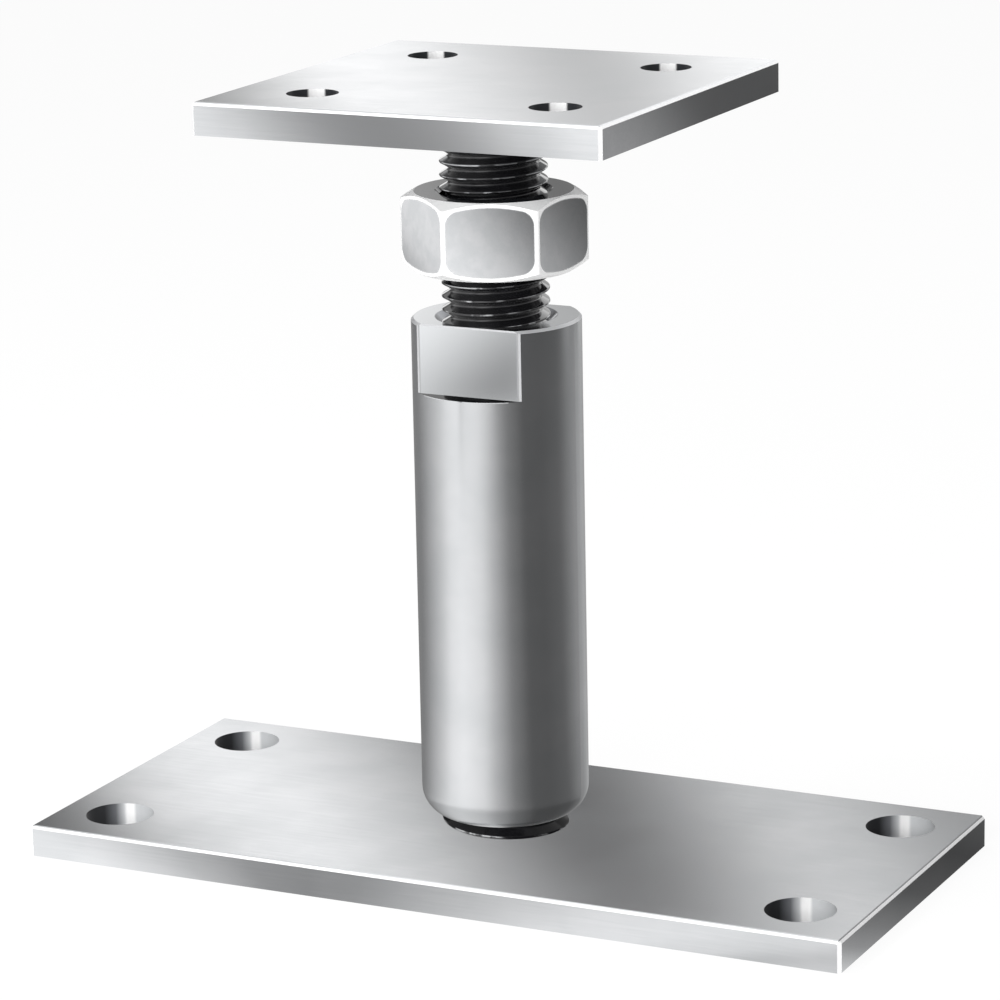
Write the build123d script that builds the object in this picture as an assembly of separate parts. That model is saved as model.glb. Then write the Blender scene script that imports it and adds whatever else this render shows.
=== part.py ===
from build123d import *
import math
import os

# Adjustable post base. A rectangular plate is bolted down to concrete and a square plate carries
# the post. A sleeve between them turns on a left-hand stud below and a right-hand rod above, so
# turning it lifts or lowers the post, and a lock nut then holds it.
# Millimetres, +Z up. The origin is the centre of the base plate's underside, long side along X.

# Base plate: flat bar with a rectangle of anchor holes
base_length = 165.0
base_width = 75.0
base_thickness = 6.0
anchor_hole_diameter = 13.0
anchor_edge_distance = 12.5

# Head plate: square, with screw holes into the end of the post
head_side = 80.0
head_thickness = 6.0
screw_hole_diameter = 9.5
screw_edge_distance = 16.0

# Broken edges of both plates, along the top and down the corners
plate_edge_break = 0.6

# Lower stud: M24, left hand. Upper rod: M20, right hand. Both are drawn at their major diameter
lower_thread_diameter = 24.0
lower_thread_pitch = 3.0
upper_thread_diameter = 20.0
upper_thread_pitch = 2.5
thread_depth_ratio = 0.6134
thread_clearance = 0.05
lower_engagement = 35.0
upper_engagement = 40.0
least_engagement = 1.0

# The stud's turned end passes through the base plate and is welded flush on the underside
spigot_diameter = 18.0
spigot_clearance = 0.05
base_weld_depth = 3.0
base_weld_land = 2.6

# The rod's end butts on the head plate, inside a fillet weld with a slightly crowned face
head_weld_leg = 4.0
head_weld_crown = 0.4

# Adjusting sleeve: turned bar with two spanner flats at the top and a rounded lower end
sleeve_diameter = 31.5
sleeve_length = 95.0
sleeve_flats = 24.0
flats_height = 13.0
flats_edge_break = 0.4
rim_break = 0.5
foot_round_height = 5.0
foot_lip = 0.5
lower_tapping_depth = 42.0
relief_width = 4.0
relief_depth = 0.5
mouth_chamfer = 1.2

# Lock nut: hexagon, chamfered at both ends
nut_flats = 30.0
nut_height = 14.5
nut_face_diameter = 29.4
nut_chamfer_angle = 30.0
nut_corner_radius = 0.9
nut_mouth_chamfer = 0.8
nut_turn = 22.6

# The setting that the part is drawn at: free heights between the pieces
foot_gap = 2.75
nut_gap = 9.0
rod_above_nut = 14.0

# Heights that follow
base_top = base_thickness
sleeve_bottom = base_top + foot_gap
sleeve_top = sleeve_bottom + sleeve_length
nut_bottom = sleeve_top + nut_gap
nut_top = nut_bottom + nut_height
head_bottom = nut_top + rod_above_nut
head_top = head_bottom + head_thickness
stud_top = sleeve_bottom + lower_engagement
rod_bottom = sleeve_top - upper_engagement

# Hole patterns that follow from the distance between each hole and the plate's edges
anchor_pitch_x = base_length - 2 * anchor_edge_distance
anchor_pitch_y = base_width - 2 * anchor_edge_distance
screw_pitch = head_side - 2 * screw_edge_distance

# Bores that follow: each is its rod with a running clearance
lower_bore_radius = lower_thread_diameter / 2 + thread_clearance
upper_bore_radius = upper_thread_diameter / 2 + thread_clearance


def thread_depth(pitch):
    """How deep a metric thread of this pitch is cut."""
    return thread_depth_ratio * pitch


def turned(points):
    """A solid of revolution about Z from an outline of (radius, height) points."""
    with BuildPart() as body:
        with BuildSketch(Plane.XZ):
            with BuildLine():
                Polyline(*points, close=True)
            make_face()
        revolve(axis=Axis.Z)
    return body.part


def broken_plate(length, width, thickness, bottom):
    """A flat plate whose top outline and four corners are broken."""
    with BuildPart() as plate:
        with Locations((0, 0, bottom)):
            Box(length, width, thickness, align=(Align.CENTER, Align.CENTER, Align.MIN))
        outline = plate.faces().sort_by(Axis.Z)[-1].edges()
        corners = plate.edges().filter_by(Axis.Z)
        chamfer(outline + corners, length=plate_edge_break)
    return plate.part


def drilled(plate, bottom, thickness, diameter, pitch_x, pitch_y):
    """The plate with one straight hole at each corner of a rectangle."""
    with BuildPart() as result:
        add(plate)
        with Locations((0, 0, bottom)):
            with GridLocations(pitch_x, pitch_y, 2, 2):
                Cylinder(
                    diameter / 2,
                    thickness,
                    align=(Align.CENTER, Align.CENTER, Align.MIN),
                    mode=Mode.SUBTRACT,
                )
    return result.part


def spigot_outline(radius, land):
    """From the underside up: a spigot's hole or weld, flared by the land at the underside."""
    return [(radius, base_top), (radius, base_weld_depth), (radius + land, 0)]


def threaded_outline(diameter, pitch, free_end, fixed_end):
    """Half the outline of a threaded rod, from its chamfered free end to its fixed end."""
    crest = diameter / 2
    chamfer_size = thread_depth(pitch)
    inward = math.copysign(chamfer_size, fixed_end - free_end)
    return [
        (0, free_end),
        (crest - chamfer_size, free_end),
        (crest, free_end + inward),
        (crest, fixed_end),
    ]


def base_plate():
    """The plate on the concrete, with its anchor holes and the seat of the lower stud."""
    hole = spigot_diameter / 2 + spigot_clearance
    plate = broken_plate(base_length, base_width, base_thickness, 0)
    plate = drilled(
        plate, 0, base_thickness, anchor_hole_diameter, anchor_pitch_x, anchor_pitch_y
    )
    seat = turned([(0, base_top), *spigot_outline(hole, base_weld_land), (0, 0)])
    return plate - seat


def base_weld():
    """The weld ring between the stud's spigot and the base plate, dressed flush underneath."""
    spigot = spigot_diameter / 2
    hole = spigot + spigot_clearance
    return turned(
        [
            (spigot, base_weld_depth),
            (hole, base_weld_depth),
            (hole + base_weld_land, 0),
            (spigot, 0),
        ]
    )


def head_plate():
    """The plate under the post, with its screw holes."""
    plate = broken_plate(head_side, head_side, head_thickness, head_bottom)
    return drilled(
        plate, head_bottom, head_thickness, screw_hole_diameter, screw_pitch, screw_pitch
    )


def head_weld():
    """The fillet weld round the upper rod, against the head plate's underside."""
    rod = upper_thread_diameter / 2
    low = (rod, head_bottom - head_weld_leg)
    high = (rod + head_weld_leg, head_bottom)
    with BuildPart() as weld:
        with BuildSketch(Plane.XZ):
            with BuildLine():
                SagittaArc(low, high, -head_weld_crown)
                Polyline(high, (rod, head_bottom), low)
            make_face()
        revolve(axis=Axis.Z)
    return weld.part


def lower_stud():
    """The left-hand stud, which stands in the base plate."""
    outline = threaded_outline(lower_thread_diameter, lower_thread_pitch, stud_top, base_top)
    spigot = spigot_diameter / 2
    return turned([*outline, (spigot, base_top), (spigot, 0), (0, 0)])


def upper_rod():
    """The right-hand rod, which hangs from the head plate."""
    outline = threaded_outline(
        upper_thread_diameter, upper_thread_pitch, rod_bottom, head_bottom
    )
    return turned([*outline, (0, head_bottom)])


def sleeve_blank():
    """The turned bar: straight side, broken upper rim and an arc down to the lip of the foot."""
    radius = sleeve_diameter / 2
    lip_radius = lower_bore_radius + foot_lip
    side_end = (radius, sleeve_bottom + foot_round_height)
    with BuildPart() as blank:
        with BuildSketch(Plane.XZ):
            with BuildLine():
                TangentArc(side_end, (lip_radius, sleeve_bottom), tangent=(0, -1))
                Polyline(
                    (lip_radius, sleeve_bottom),
                    (0, sleeve_bottom),
                    (0, sleeve_top),
                    (radius - rim_break, sleeve_top),
                    (radius, sleeve_top - rim_break),
                    side_end,
                )
            make_face()
        revolve(axis=Axis.Z)
    return blank.part


def sleeve_bore():
    """The two tapped bores, the run-out groove between them and the chamfered upper mouth."""
    relief_bottom = sleeve_bottom + lower_tapping_depth
    relief_top = relief_bottom + relief_width
    relief_radius = lower_bore_radius + relief_depth
    mouth_radius = upper_bore_radius + mouth_chamfer
    return turned(
        [
            (0, sleeve_bottom),
            (lower_bore_radius, sleeve_bottom),
            (lower_bore_radius, relief_bottom),
            (relief_radius, relief_bottom),
            (relief_radius, relief_top),
            (upper_bore_radius, relief_top),
            (upper_bore_radius, sleeve_top - mouth_chamfer),
            (mouth_radius, sleeve_top),
            (0, sleeve_top),
        ]
    )


def adjusting_sleeve():
    """The sleeve, with two flats for a spanner milled across its upper end."""
    radius = sleeve_diameter / 2
    with BuildPart() as sleeve:
        add(sleeve_blank())
        for side in (-1, 1):
            with Locations((0, side * (sleeve_flats + radius) / 2, sleeve_top - flats_height)):
                Box(
                    sleeve_diameter,
                    radius,
                    flats_height,
                    align=(Align.CENTER, Align.CENTER, Align.MIN),
                    mode=Mode.SUBTRACT,
                )
        flat_sides = sleeve.edges().filter_by(Axis.Z).filter_by_position(
            Axis.Z, sleeve_top - flats_height, sleeve_top
        )
        chamfer(flat_sides, length=flats_edge_break)
        add(sleeve_bore(), mode=Mode.SUBTRACT)
    return sleeve.part


def lock_nut():
    """The hexagon nut, turned so that one face looks a little to the right of the front."""
    corner_radius = nut_flats / 2 / math.cos(math.pi / 6)
    face_radius = nut_face_diameter / 2
    drop = (corner_radius - face_radius) * math.tan(math.radians(nut_chamfer_angle))
    mouth_radius = upper_bore_radius + nut_mouth_chamfer
    with BuildPart() as nut:
        with BuildSketch(Plane.XY.offset(nut_bottom)):
            RegularPolygon(nut_flats / 2, 6, major_radius=False, rotation=nut_turn)
        extrude(amount=nut_height)
        fillet(nut.edges().filter_by(Axis.Z), radius=nut_corner_radius)
        envelope = turned(
            [
                (0, nut_bottom),
                (face_radius, nut_bottom),
                (corner_radius, nut_bottom + drop),
                (corner_radius, nut_top - drop),
                (face_radius, nut_top),
                (0, nut_top),
            ]
        )
        add(envelope, mode=Mode.INTERSECT)
        bore = turned(
            [
                (0, nut_bottom),
                (mouth_radius, nut_bottom),
                (upper_bore_radius, nut_bottom + nut_mouth_chamfer),
                (upper_bore_radius, nut_top - nut_mouth_chamfer),
                (mouth_radius, nut_top),
                (0, nut_top),
            ]
        )
        add(bore, mode=Mode.SUBTRACT)
    return nut.part


def print_travel():
    """Say how far the sleeve may turn and the head may move from the drawn setting."""
    lift_per_turn = lower_thread_pitch + upper_thread_pitch
    turns_down = foot_gap / lower_thread_pitch
    lower_spare = lower_engagement - least_engagement * lower_thread_diameter
    upper_spare = upper_engagement - least_engagement * upper_thread_diameter
    turns_up = min(lower_spare / lower_thread_pitch, upper_spare / upper_thread_pitch)
    print(f"lift per turn {lift_per_turn:.3f} mm")
    print(f"sleeve turns {-360 * turns_down:.1f} to {360 * turns_up:.1f} degrees")
    print(f"head moves {-lift_per_turn * turns_down:.3f} to {lift_per_turn * turns_up:.3f} mm")
    nut_rise = rod_above_nut - head_weld_leg - lift_per_turn * turns_down
    print(f"nut moves {-nut_gap:.2f} to {nut_rise:.2f} mm, with the head at its lowest")


pieces = {
    "base_plate": base_plate(),
    "base_weld": base_weld(),
    "lower_stud": lower_stud(),
    "adjusting_sleeve": adjusting_sleeve(),
    "lock_nut": lock_nut(),
    "upper_rod": upper_rod(),
    "head_plate": head_plate(),
    "head_weld": head_weld(),
}

os.makedirs("parts", exist_ok=True)
for name, piece in pieces.items():
    export_step(piece, f"parts/{name}.step")
    print(f"{name}: {piece.volume:.1f} mm3")
print_travel()
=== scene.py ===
import math

import bpy
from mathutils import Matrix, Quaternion, Vector


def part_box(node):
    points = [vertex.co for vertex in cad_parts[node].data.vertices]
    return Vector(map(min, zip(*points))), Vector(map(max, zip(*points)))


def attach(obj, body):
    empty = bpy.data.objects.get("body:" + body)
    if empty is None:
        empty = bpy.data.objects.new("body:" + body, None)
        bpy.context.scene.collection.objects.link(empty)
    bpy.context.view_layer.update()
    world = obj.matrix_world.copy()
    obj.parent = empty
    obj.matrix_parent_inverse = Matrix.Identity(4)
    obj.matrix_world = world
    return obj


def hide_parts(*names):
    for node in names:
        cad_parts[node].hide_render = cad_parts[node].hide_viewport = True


# Adjustable post base: two plated plates, a turned sleeve and a nut between them, black threads.
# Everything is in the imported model's frame, in metres. The settings of the pieces are in
# millimetres, and those of the stage, the lamps and the camera in metres.
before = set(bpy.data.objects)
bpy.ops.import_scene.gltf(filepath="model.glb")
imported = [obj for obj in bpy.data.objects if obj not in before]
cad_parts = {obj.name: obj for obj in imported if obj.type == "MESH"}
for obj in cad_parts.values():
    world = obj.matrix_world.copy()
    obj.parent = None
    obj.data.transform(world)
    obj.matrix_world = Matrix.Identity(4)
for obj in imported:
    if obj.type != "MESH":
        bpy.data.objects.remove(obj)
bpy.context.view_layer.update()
mm = 0.001
print("frame loaded")


def toLinear(hexColour):
    # a shader socket takes linear values, and the colours below are sRGB
    parts = [int(hexColour[i:i + 2], 16) / 255 for i in (1, 3, 5)]
    return (*[p / 12.92 if p <= 0.04045 else ((p + 0.055) / 1.055) ** 2.4 for p in parts], 1)


def perMetre(sizeMm):
    # how often marks of this size follow each other in a metre, which is a texture's scale
    return 1 / (sizeMm * mm)


def addNode(tree, kind, settings=None):
    # A setting is one of the node's own options or one of its inputs.
    # An input takes a value, or the node or socket that feeds it.
    node = tree.nodes.new("ShaderNode" + kind)
    for key, value in (settings or {}).items():
        if isinstance(key, str) and hasattr(node, key):
            setattr(node, key, value)
            continue
        if isinstance(value, bpy.types.Node):
            value = next(s for s in value.outputs if s.enabled)
        socket = next(s for i, s in enumerate(node.inputs) if key in (i, s.name) and s.enabled)
        if isinstance(value, bpy.types.NodeSocket):
            tree.links.new(value, socket)
        else:
            socket.default_value = value
    return node


def newTree(name):
    material = bpy.data.materials.new(name)
    material.use_nodes = True
    material.node_tree.nodes.clear()
    return material, material.node_tree


def azimuthOf(tree, vector):
    # radians from the front, which is -Y, towards +X
    parts = addNode(tree, "SeparateXYZ", {0: vector}).outputs
    front = addNode(tree, "Math", {"operation": "MULTIPLY", 0: parts[1], 1: -1.0})
    return addNode(tree, "Math", {"operation": "ARCTAN2", 0: parts[0], 1: front})


def outFromAxis(tree, spot):
    level = addNode(tree, "VectorMath", {"operation": "MULTIPLY", 0: spot, 1: (1, 1, 0)})
    return addNode(tree, "VectorMath", {"operation": "LENGTH", 0: level})


def setStops(ramp, stops):
    # stops are {position: colour}
    marks = ramp.color_ramp.elements
    marks.remove(marks[1])
    for number, (position, colour) in enumerate(sorted(stops.items())):
        mark = marks.new(position) if number else marks[0]
        mark.position, mark.color = position, colour


def finishMetal(tree, settings, height, sockets):
    bump = addNode(tree, "Bump", {
        "Strength": 1.0, "Distance": settings["reliefMm"] * mm, "Height": height})
    shader = addNode(tree, "BsdfPrincipled", {**sockets, "Normal": bump})
    addNode(tree, "OutputMaterial", {"Surface": shader})


# Settings that many nodes share. Noise stays mostly between the two values of patchy or of mild
inColour = {"data_type": "RGBA"}
smooth = {"interpolation_type": "SMOOTHSTEP"}
patchy = {**smooth, "From Min": 0.3, "From Max": 0.7}
mild = {**smooth, "From Min": 0.25, "From Max": 0.75}
upright = {0: 0.01, 1: 0.02, 2: 1.0}  # rings round a hole or bar spread reflections along this
plainShine = 0.5  # a shader's usual specular level

# Plates: hot rolled flat bar, sheared, drilled, edges broken with a file, then zinc plated.
# The plating leaves a satin grey with a faint grain along the bar. The filed edges are painted
# white on top, a painted highlight, and dark grey underneath, a painted shade.
plates = {
    "light": toLinear("#E2E3E5"), "dark": toLinear("#D8DADC"),
    "edgeHighlight": toLinear("#FAFAFB"), "edgeShade": toLinear("#707276"),
    "edgeMetallic": 0.25, "edgeRoughness": 0.34,
    "topSmooth": 0.18, "topDull": 0.22, "sideSmooth": 0.10, "sideDull": 0.14,
    "grainMm": (14.0, 0.45, 0.45),  # rolling lines are near 0.1 mm wide, drawn coarser to show
    "grainShare": 0.3,  # of the unevenness, and the rest is cloudy patches
    "cloudMm": 16.0,
    "reliefMm": 0.0012,
    "rimMm": 0.42,  # the painted highlight on a broken edge's top, and the painted shade on its underside, reach this far from the plate's side
    "drilledMetallic": 0.3, "drilledRoughness": 0.4, "drilledRings": 0.6,
    "ringMm": 0.3,  # drill feed marks in the holes
    "slant": (0.9, 0.97),  # largest part of a filed edge's direction, and of a flat face's
    "wallRise": 0.5, "lowRise": -0.3,  # walls and lower edges face up less than these
}
# Hole walls are painted by the azimuth that the wall faces: dark where they face right, a painted
# shade, and one line white, a painted highlight
baseHolePaintedLight = {-180: "#B8BABC", -70: "#B8BABC", 2: "#D0D2D4", 7: "#FFFFFF", 19: "#FFFFFF",
             24: "#C8CACC", 38: "#6A6C70", 58: "#2A2B2E", 110: "#232427", 180: "#B8BABC"}
headHolePaintedLight = {-180: "#5A5C60", -60: "#2A2B2E", -2: "#2E3033", 3: "#FFFFFF", 35: "#FFFFFF",
             40: "#2E3033", 120: "#232427", 180: "#5A5C60"}


def plateMasks(tree, spot, facing, node):
    # distance to the plate's nearest side
    unsigned = addNode(tree, "VectorMath", {"operation": "ABSOLUTE", 0: spot})
    inset = addNode(tree, "VectorMath", {
        "operation": "SUBTRACT", 0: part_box(node)[1], 1: unsigned})
    insets = addNode(tree, "SeparateXYZ", {0: inset}).outputs
    toSide = addNode(tree, "Math", {"operation": "MINIMUM", 0: insets[0], 1: insets[1]})
    atSide = addNode(tree, "Math", {
        "operation": "LESS_THAN", 0: toSide, 1: plates["rimMm"] * mm})

    # a slanted face at the side is a filed edge, and an upright one away from it a hole's wall
    turned = addNode(tree, "VectorMath", {"operation": "ABSOLUTE", 0: facing})
    across = addNode(tree, "SeparateXYZ", {0: turned}).outputs
    level = addNode(tree, "Math", {"operation": "MAXIMUM", 0: across[0], 1: across[1]})
    largest = addNode(tree, "Math", {"operation": "MAXIMUM", 0: level, 1: across[2]})
    slantEnd, flatStart = plates["slant"]
    slanted = addNode(tree, "MapRange", {
        **smooth, "Value": largest, "From Min": slantEnd, "From Max": flatStart,
        "To Min": 1.0, "To Max": 0.0})
    filed = addNode(tree, "Math", {"operation": "MULTIPLY", 0: slanted, 1: atSide})
    wall = addNode(tree, "Math", {"operation": "LESS_THAN", 0: across[2], 1: plates["wallRise"]})
    inside = addNode(tree, "Math", {"operation": "SUBTRACT", 0: 1.0, 1: atSide})
    hole = addNode(tree, "Math", {"operation": "MULTIPLY", 0: wall, 1: inside})
    return filed, wall, hole


def platedBar(name, node, holePaintedLight):
    material, tree = newTree(name)
    place = addNode(tree, "TexCoord").outputs
    spot, facing = place["Object"], place["Normal"]
    lines = addNode(tree, "Mapping", {
        "Vector": spot, "Scale": [perMetre(size) for size in plates["grainMm"]]})
    grain = addNode(tree, "TexNoise", {"Vector": lines, "Scale": 1.0, "Detail": 3.0})
    cloud = addNode(tree, "TexNoise", {
        "Vector": spot, "Scale": perMetre(plates["cloudMm"]), "Detail": 4.0})
    feed = addNode(tree, "Mapping", {"Vector": spot, "Scale": (0, 0, perMetre(plates["ringMm"]))})
    rings = addNode(tree, "TexNoise", {"Vector": feed, "Scale": 1.0, "Detail": 1.0})
    tone = addNode(tree, "Mix", {"Factor": plates["grainShare"], "A": cloud, "B": grain})
    filed, wall, hole = plateMasks(tree, spot, facing, node)

    patch = addNode(tree, "MapRange", {**patchy, "Value": tone})
    plated = addNode(tree, "Mix", {
        **inColour, "Factor": patch, "A": plates["dark"], "B": plates["light"]})
    # painted shade and painted highlight inside the holes, by the azimuth the wall faces
    turn = addNode(tree, "Math", {
        "operation": "MULTIPLY_ADD", 0: azimuthOf(tree, facing), 1: 0.5 / math.pi, 2: 0.5})
    around = addNode(tree, "ValToRGB", {0: turn})
    setStops(around, {(a + 180) / 360: toLinear(c) for a, c in holePaintedLight.items()})
    drilled = addNode(tree, "Mix", {**inColour, "Factor": hole, "A": plated, "B": around})
    rise = addNode(tree, "SeparateXYZ", {0: facing}).outputs[2]
    downward = addNode(tree, "Math", {"operation": "LESS_THAN", 0: rise, 1: plates["lowRise"]})
    # painted highlight on the upper filed edges, painted shade on the lower ones
    edge = addNode(tree, "Mix", {
        **inColour, "Factor": downward, "A": plates["edgeHighlight"], "B": plates["edgeShade"]})
    colour = addNode(tree, "Mix", {**inColour, "Factor": filed, "A": drilled, "B": edge})

    top = addNode(tree, "MapRange", {
        **mild, "Value": tone, "To Min": plates["topDull"], "To Max": plates["topSmooth"]})
    side = addNode(tree, "MapRange", {
        **mild, "Value": tone, "To Min": plates["sideDull"], "To Max": plates["sideSmooth"]})
    outer = addNode(tree, "Mix", {"Factor": wall, "A": top, "B": side})
    roughness = addNode(tree, "Mix", {"Factor": hole, "A": outer, "B": plates["drilledRoughness"]})
    metallic = addNode(tree, "Mix", {"Factor": filed, "A": 1.0, "B": plates["edgeMetallic"]})
    finishMetal(tree, plates, addNode(tree, "Mix", {"Factor": hole, "A": grain, "B": rings}), {
        "Base Color": colour,
        "Roughness": addNode(tree, "Mix", {
            "Factor": filed, "A": roughness, "B": plates["edgeRoughness"]}),
        "Metallic": addNode(tree, "Mix", {
            "Factor": hole, "A": metallic, "B": plates["drilledMetallic"]}),
        "Anisotropic": addNode(tree, "Math", {
            "operation": "MULTIPLY", 0: hole, 1: plates["drilledRings"]}),
        "Tangent": addNode(tree, "CombineXYZ", upright),
    })
    return material


# Sleeve: round bar turned with a fine feed, spanner flats milled, then zinc plated.
# Turning rings run round it, so its highlights stay narrow across and long up and down.
sleeve = {
    "light": toLinear("#E0E1E3"), "dark": toLinear("#D8DADC"), "flat": toLinear("#DCDEE0"),
    # edge is a painted highlight, and foot a painted shade on the foot facing down
    "face": toLinear("#C8CACC"), "edge": toLinear("#CBCCCE"), "foot": toLinear("#D0D2D4"),
    # shoulder and mouth are painted shade: near black under the flats, darker in the countersink
    "shoulder": toLinear("#17181A"), "mouth": toLinear("#8A8C90"),
    "smooth": 0.19, "dull": 0.23, "faceRoughness": 0.12, "flatRoughness": 0.08,
    "edgeMetallic": 0.45, "edgeRoughness": 0.34, "shoulderShine": 0.05,
    "rings": 0.3, "marksShare": 0.5,  # marks of the tool, and the rest is cloudy patches
    "feedMm": 0.4,  # the real feed is near 0.15 mm, drawn coarser to show
    "millingMm": (0.5, 9.0),  # cutter marks on the flats, across and along
    "cloudMm": 12.0,
    "reliefMm": 0.0008,
    "flatLengthMm": 13.25,  # from the top face down to the shoulders
    "flatStartMm": 0.1, "shoulderMm": 1.5,  # a flat's start above them, and their reach up and down
    "rimMm": 0.6, "flatRimMm": 0.35,  # the top face's and the flats' edges are painted bright this far down, a painted highlight
    "flatEdgeMm": 15.6, "mouthMm": 11.4,  # radii of the flats' upright edges and of the countersink
    "level": 0.95, "square": 0.985,  # directions of the level faces and of the flats
    "besideFlat": (0.9125, 0.0725), "slant": (0.625, 0.325),  # middles and reaches of directions
    "under": (-0.05, -0.3),  # the rounded foot faces down from the first to the second
}


def sleeveMasks(tree, spot, facing, top):
    z = addNode(tree, "SeparateXYZ", {0: spot}).outputs[2]
    out = outFromAxis(tree, spot)
    towards = addNode(tree, "SeparateXYZ", {0: facing}).outputs
    rise = towards[2]
    sideways = addNode(tree, "Math", {"operation": "ABSOLUTE", 0: towards[1]})
    shoulderTop = top - sleeve["flatLengthMm"] * mm
    level = addNode(tree, "Math", {"operation": "GREATER_THAN", 0: rise, 1: sleeve["level"]})
    upper = addNode(tree, "Math", {
        "operation": "GREATER_THAN", 0: z, 1: shoulderTop + sleeve["flatStartMm"] * mm})
    square = addNode(tree, "Math", {"operation": "GREATER_THAN", 0: sideways, 1: sleeve["square"]})
    flat = addNode(tree, "Math", {"operation": "MULTIPLY", 0: upper, 1: square})
    # the countersink round the rod is painted darker, a painted shade in the recess
    mouth = addNode(tree, "Math", {"operation": "LESS_THAN", 0: out, 1: sleeve["mouthMm"] * mm})

    # painted highlight on the edges: beside the flats, along their tops, and round the top face
    middle, reach = sleeve["besideFlat"]
    beside = addNode(tree, "Math", {"operation": "COMPARE", 0: sideways, 1: middle, 2: reach})
    outside = addNode(tree, "Math", {
        "operation": "GREATER_THAN", 0: out, 1: sleeve["flatEdgeMm"] * mm})
    corner = addNode(tree, "Math", {"operation": "MULTIPLY", 0: beside, 1: outside})
    flatEdge = addNode(tree, "Math", {"operation": "MULTIPLY", 0: upper, 1: corner})
    atTop = addNode(tree, "Math", {
        "operation": "GREATER_THAN", 0: z, 1: top - sleeve["flatRimMm"] * mm})
    flatRim = addNode(tree, "Math", {"operation": "MULTIPLY", 0: flat, 1: atTop})
    middle, reach = sleeve["slant"]
    slanted = addNode(tree, "Math", {"operation": "COMPARE", 0: rise, 1: middle, 2: reach})
    nearTop = addNode(tree, "Math", {
        "operation": "GREATER_THAN", 0: z, 1: top - sleeve["rimMm"] * mm})
    broken = addNode(tree, "Math", {"operation": "MULTIPLY", 0: slanted, 1: nearTop})
    solid = addNode(tree, "Math", {"operation": "SUBTRACT", 0: 1.0, 1: mouth})
    topRim = addNode(tree, "Math", {"operation": "MULTIPLY", 0: broken, 1: solid})
    flatEdges = addNode(tree, "Math", {"operation": "MAXIMUM", 0: flatEdge, 1: flatRim})
    edge = addNode(tree, "Math", {"operation": "MAXIMUM", 0: flatEdges, 1: topRim})

    # the shoulders below the flats are painted near black, a painted shade in the corner under the
    # flats
    lowDown = addNode(tree, "Math", {
        "operation": "COMPARE", 0: z, 1: shoulderTop, 2: sleeve["shoulderMm"] * mm})
    shoulder = addNode(tree, "Math", {"operation": "MULTIPLY", 0: level, 1: lowDown})
    # the foot facing down is painted a little darker, a painted shade
    underStart, underFull = sleeve["under"]
    foot = addNode(tree, "MapRange", {
        **smooth, "Value": rise, "From Min": underStart, "From Max": underFull})
    return {"flat": flat, "edge": edge, "face": level, "foot": foot,
            "shoulder": shoulder, "mouth": mouth}


def turnedBar(name, node):
    material, tree = newTree(name)
    place = addNode(tree, "TexCoord").outputs
    spot, facing = place["Object"], place["Normal"]
    feed = addNode(tree, "Mapping", {"Vector": spot, "Scale": (0, 0, perMetre(sleeve["feedMm"]))})
    rings = addNode(tree, "TexNoise", {"Vector": feed, "Scale": 1.0, "Detail": 1.0})
    across, along = [perMetre(size) for size in sleeve["millingMm"]]
    strokes = addNode(tree, "Mapping", {"Vector": spot, "Scale": (across, 0, along)})
    cutter = addNode(tree, "TexNoise", {"Vector": strokes, "Scale": 1.0, "Detail": 2.0})
    cloud = addNode(tree, "TexNoise", {
        "Vector": spot, "Scale": perMetre(sleeve["cloudMm"]), "Detail": 4.0})
    masks = sleeveMasks(tree, spot, facing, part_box(node)[1].z)

    patch = addNode(tree, "MapRange", {**patchy, "Value": cloud})
    colour = addNode(tree, "Mix", {
        **inColour, "Factor": patch, "A": sleeve["dark"], "B": sleeve["light"]})
    for part, mask in masks.items():
        colour = addNode(tree, "Mix", {**inColour, "Factor": mask, "A": colour, "B": sleeve[part]})

    marks = addNode(tree, "Mix", {"Factor": masks["flat"], "A": rings, "B": cutter})
    tone = addNode(tree, "Mix", {"Factor": sleeve["marksShare"], "A": cloud, "B": marks})
    roughness = addNode(tree, "MapRange", {
        **mild, "Value": tone, "To Min": sleeve["dull"], "To Max": sleeve["smooth"]})
    for part in ("flat", "face", "edge"):
        roughness = addNode(tree, "Mix", {
            "Factor": masks[part], "A": roughness, "B": sleeve[part + "Roughness"]})
    # the edges are less metallic, so their colour shows bright, a painted highlight
    metallic = addNode(tree, "Mix", {
        "Factor": masks["edge"], "A": 1.0, "B": sleeve["edgeMetallic"]})
    milled = addNode(tree, "Math", {"operation": "MAXIMUM", 0: masks["face"], 1: masks["flat"]})
    worked = addNode(tree, "Math", {"operation": "MAXIMUM", 0: milled, 1: masks["edge"]})
    finishMetal(tree, sleeve, marks, {
        "Base Color": colour,
        "Roughness": roughness,
        # the shoulders' painted shade takes no metal and little shine, so it stays dark
        "Metallic": addNode(tree, "Mix", {"Factor": masks["shoulder"], "A": metallic, "B": 0.0}),
        "Specular IOR Level": addNode(tree, "Mix", {
            "Factor": masks["shoulder"], "A": plainShine, "B": sleeve["shoulderShine"]}),
        "Anisotropic": addNode(tree, "Mix", {"Factor": worked, "A": sleeve["rings"], "B": 0.0}),
        "Tangent": addNode(tree, "CombineXYZ", upright),
    })
    return material


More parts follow.
